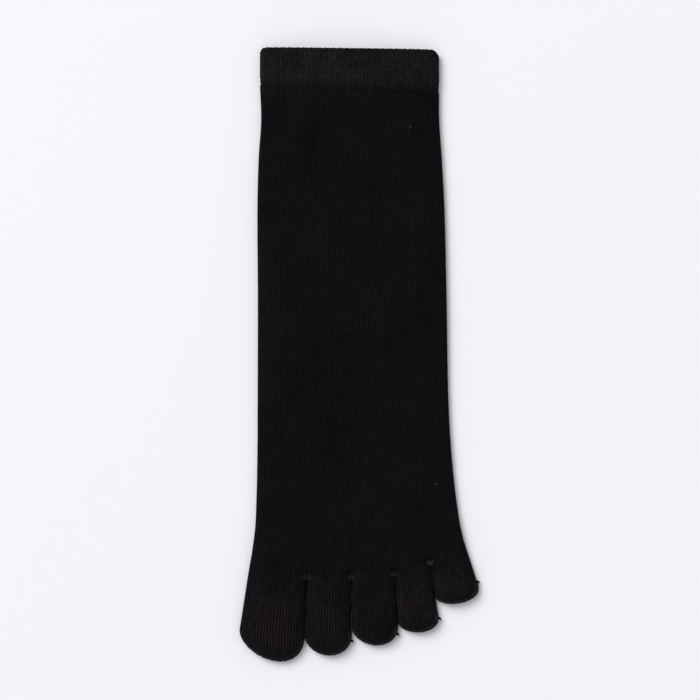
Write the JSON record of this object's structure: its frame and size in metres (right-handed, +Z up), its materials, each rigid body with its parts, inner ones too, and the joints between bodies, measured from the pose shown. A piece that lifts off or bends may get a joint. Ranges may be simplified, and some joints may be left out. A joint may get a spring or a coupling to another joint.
{
  "type": "toe sock",
  "caption": "Black knitted toe sock for the left foot, lying flat with its instep up: elastic cuff, plain leg and foot, heel pocket tucked under, and a hollow sleeve for each toe.",
  "frame": {"origin": "middle of the sock's footprint, on the surface that it lies on", "axes": "+Y runs from the toes to the cuff, +X from the big toe's side to the little toe's, +Z up out of the instep"},
  "size_m": [0.124, 0.3188, 0.0116],
  "materials": {
    "cuff_welt": "black knitted welt over elastic yarn, matt with a little fuzz",
    "knit": "black plain-knitted cotton, fine upright ribs, matt with a little fuzz"
  },
  "bodies": {
    "root": {"cuff": "cuff_welt", "leg": "knit", "heel_pocket": "knit", "foot": "knit", "big_toe": "knit", "second_toe": "knit", "third_toe": "knit", "fourth_toe": "knit", "little_toe": "knit"}
  },
  "joints": []
}
